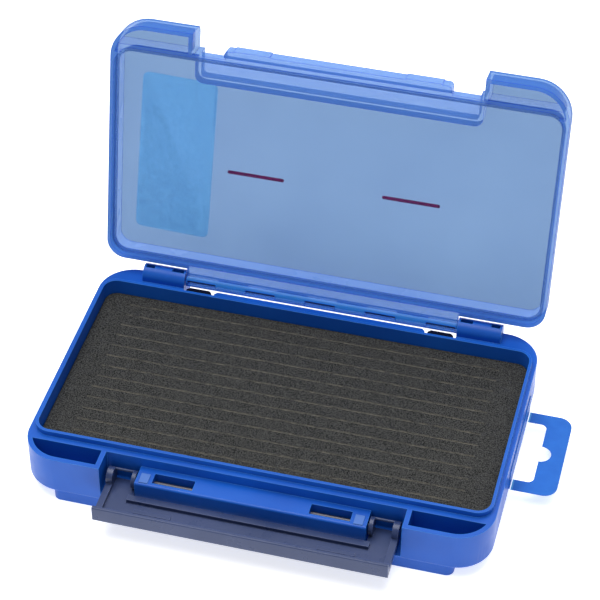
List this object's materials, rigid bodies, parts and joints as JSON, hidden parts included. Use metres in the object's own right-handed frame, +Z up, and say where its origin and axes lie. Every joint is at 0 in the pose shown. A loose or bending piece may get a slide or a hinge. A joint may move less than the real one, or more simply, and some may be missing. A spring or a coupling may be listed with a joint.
{
  "type": "waterproof fly box",
  "caption": "Flat blue fly box with slit foam, a translucent hinged lid standing open, a wide swinging snap latch and a fold-out hanging tab.",
  "frame": {"origin": "middle of the tray's ring foot, on the surface that the box stands on", "axes": "+X to the right along the hinge, +Y from the latch to the hinge, +Z up"},
  "size_m": [0.2088, 0.1646, 0.1362],
  "materials": {
    "tray_blue": "satin moulded, opaque blue",
    "foam": "matte closed-cell foam, charcoal",
    "adhesive": "thin clear sheet",
    "steel": "drawn wire",
    "lever_blue": "satin moulded, grey-blue",
    "lid_clear_blue": "glossy, translucent blue",
    "label": "thin film, blank",
    "bumper": "matte, nearly black blue",
    "tab_blue": "satin film, bright blue",
    "gasket": "soft, milky blue"
  },
  "bodies": {
    "base": {"base_shell": "tray_blue", "slit_foam": "foam", "foam_adhesive": "adhesive", "hinge_pin": "steel", "latch_pins": "steel", "stop_bumpers": "bumper", "hang_tab_patch": "tab_blue"},
    "lid": {"lid_shell": "lid_clear_blue", "lid_gasket": "gasket", "lid_label": "label"},
    "latch": {"latch_lever": "lever_blue"},
    "tab": {"hang_tab_loop": "tab_blue"}
  },
  "joints": [
    {"name": "lid_hinge", "type": "hinge", "parent": "base", "child": "lid", "pos_m": [0, 0.0561, 0.0246], "axis": [1, 0, 0], "range_deg": [0, 102.7]},
    {"name": "latch_pivot", "type": "hinge", "parent": "base", "child": "latch", "pos_m": [0, -0.053, 0.0144], "axis": [-1, 0, 0], "range_deg": [0, 90]},
    {"name": "tab_fold", "type": "hinge", "parent": "base", "child": "tab", "pos_m": [0.0958, 0.00905, 0.0069], "axis": [0, -1, 0], "range_deg": [0, 85]}
  ]
}
